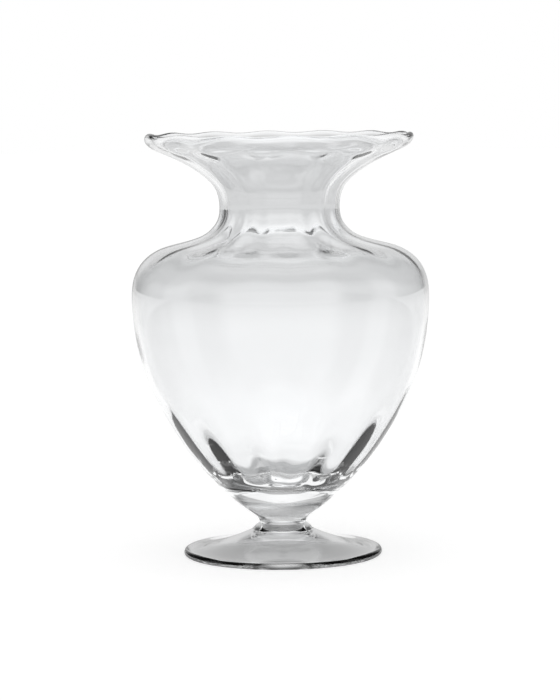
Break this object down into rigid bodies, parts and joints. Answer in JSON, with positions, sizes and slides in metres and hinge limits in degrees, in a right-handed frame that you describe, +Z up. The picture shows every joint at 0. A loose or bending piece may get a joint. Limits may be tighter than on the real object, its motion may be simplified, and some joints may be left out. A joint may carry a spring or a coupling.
{
  "type": "hyacinth forcing vase",
  "caption": "Clear blown-glass bulb vase with a deep urn bowl, a narrow throat that holds the bulb, a flared scalloped mouth and a round foot.",
  "frame": {"origin": "middle of the foot's underside, on the surface that the vase stands on", "axes": "+Z up along the vase's axis; X and Y are equal"},
  "size_m": [0.1412, 0.1412, 0.2011],
  "materials": {
    "foot_glass": "clear, fire-polished, with a ground pontil mark",
    "collar_glass": "clear, fire-polished",
    "vessel_glass": "clear, blown, with faint optic ribs"
  },
  "bodies": {
    "root": {"foot": "foot_glass", "collar": "collar_glass", "vessel": "vessel_glass"}
  },
  "joints": []
}
